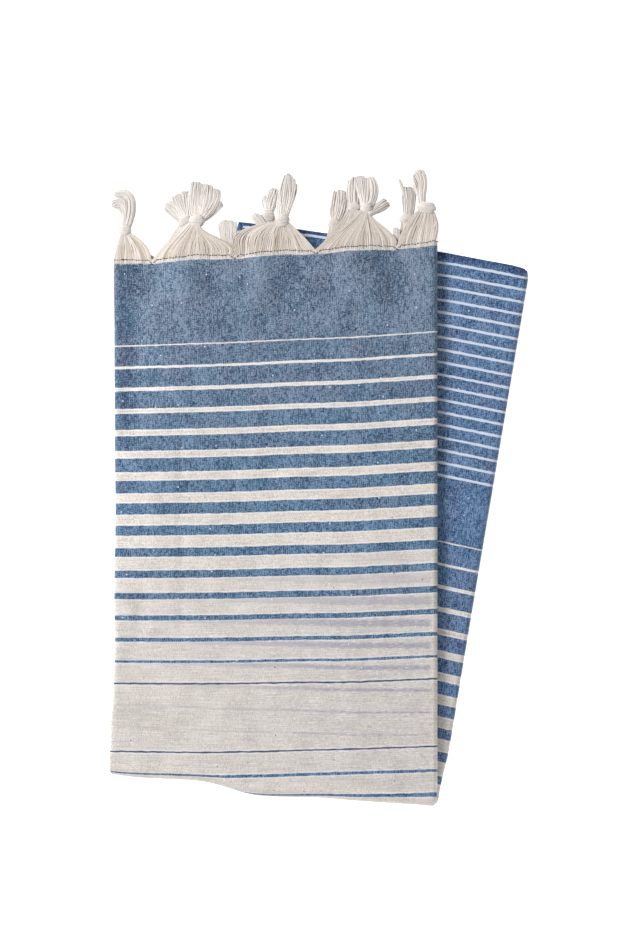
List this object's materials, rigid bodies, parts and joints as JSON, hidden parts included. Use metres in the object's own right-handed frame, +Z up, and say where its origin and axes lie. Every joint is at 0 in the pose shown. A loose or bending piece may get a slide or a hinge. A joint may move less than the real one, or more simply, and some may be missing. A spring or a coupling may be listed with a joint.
{
  "type": "hammam towel",
  "caption": "Flat-woven striped cotton bath towel folded into a thick slanted stack, its knotted fringe fanned out along the upper edge.",
  "frame": {"origin": "under the middle of the folded towel, on the surface it lies on", "axes": "+Y along the folded towel towards its fringe, +X across it, +Z up through its plies"},
  "size_m": [0.3209, 0.4891, 0.024],
  "materials": {
    "woven_cotton": "flat-woven cotton, blue weft stripes on a cream warp, matt",
    "fringe_cotton": "loose cream cotton yarn, matt"
  },
  "bodies": {
    "root": {"towel_cloth": "woven_cotton", "tassel_front_1": "fringe_cotton", "tassel_front_2": "fringe_cotton", "tassel_front_3": "fringe_cotton", "tassel_front_4": "fringe_cotton", "tassel_front_5": "fringe_cotton", "tassel_second_1": "fringe_cotton", "tassel_second_2": "fringe_cotton", "tassel_second_3": "fringe_cotton", "tassel_second_4": "fringe_cotton", "tassel_third_1": "fringe_cotton", "tassel_third_2": "fringe_cotton", "tassel_third_3": "fringe_cotton", "tassel_third_4": "fringe_cotton", "tassel_last_1": "fringe_cotton", "tassel_last_2": "fringe_cotton", "tassel_last_3": "fringe_cotton", "tassel_last_4": "fringe_cotton", "tassel_inner_1": "fringe_cotton", "tassel_inner_2": "fringe_cotton", "tassel_inner_3": "fringe_cotton"}
  },
  "joints": []
}
